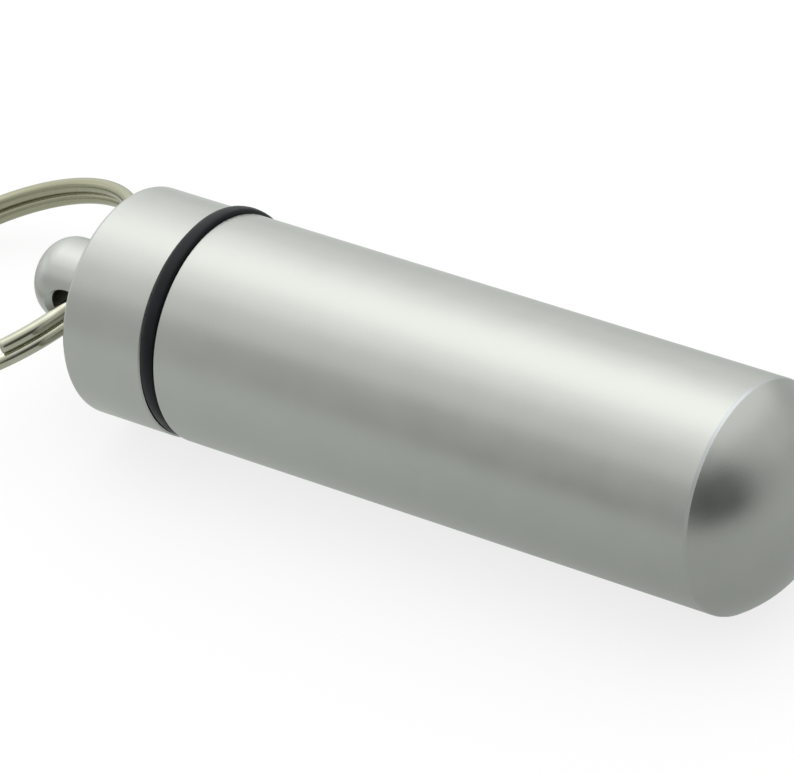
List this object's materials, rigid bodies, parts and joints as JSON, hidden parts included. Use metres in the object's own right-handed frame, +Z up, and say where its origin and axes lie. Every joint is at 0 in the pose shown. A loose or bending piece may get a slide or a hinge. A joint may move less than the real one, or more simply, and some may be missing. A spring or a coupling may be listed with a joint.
{
  "type": "keychain capsule",
  "caption": "Round metal capsule with a domed end and a knobbed screw cap, sealed by a rubber ring and carried on a split ring through the knob.",
  "frame": {"origin": "on the surface the capsule lies on, under the middle of the whole length from the far side of the split ring to the tip of the dome", "axes": "+X along the capsule's axis towards its domed end, with the knob and the split ring at the -X end; +Y level, along the cross hole in the knob; +Z up"},
  "size_m": [0.0812, 0.024, 0.0163],
  "materials": {
    "body_metal": "fine satin, bead blasted",
    "seal_rubber": "dull black",
    "ring_plating": "bright nickel plating on spring steel wire"
  },
  "bodies": {
    "tube": {"capsule_tube": "body_metal"},
    "seal": {"sealing_ring": "seal_rubber"},
    "cap": {"screw_cap": "body_metal"},
    "ring": {"split_ring": "ring_plating"}
  },
  "joints": [
    {"name": "cap_lift", "type": "slide", "parent": "tube", "child": "seal", "axis": [-1, 0, 0], "range_m": [0, 0.00701]},
    {"name": "cap_turn", "type": "hinge", "parent": "seal", "child": "cap", "pos_m": [-0.00661, 0, 0.008], "axis": [-1, 0, 0], "range_deg": [0, 2520]},
    {"name": "ring_swing", "type": "hinge", "parent": "cap", "child": "ring", "pos_m": [-0.01811, 0, 0.008], "axis": [0, 1, 0], "range_deg": [-125, 160]}
  ],
  "couplings": [
    {"joint": "cap_lift", "follows": "cap_turn", "m_per_rad": 0.00015915}
  ]
}
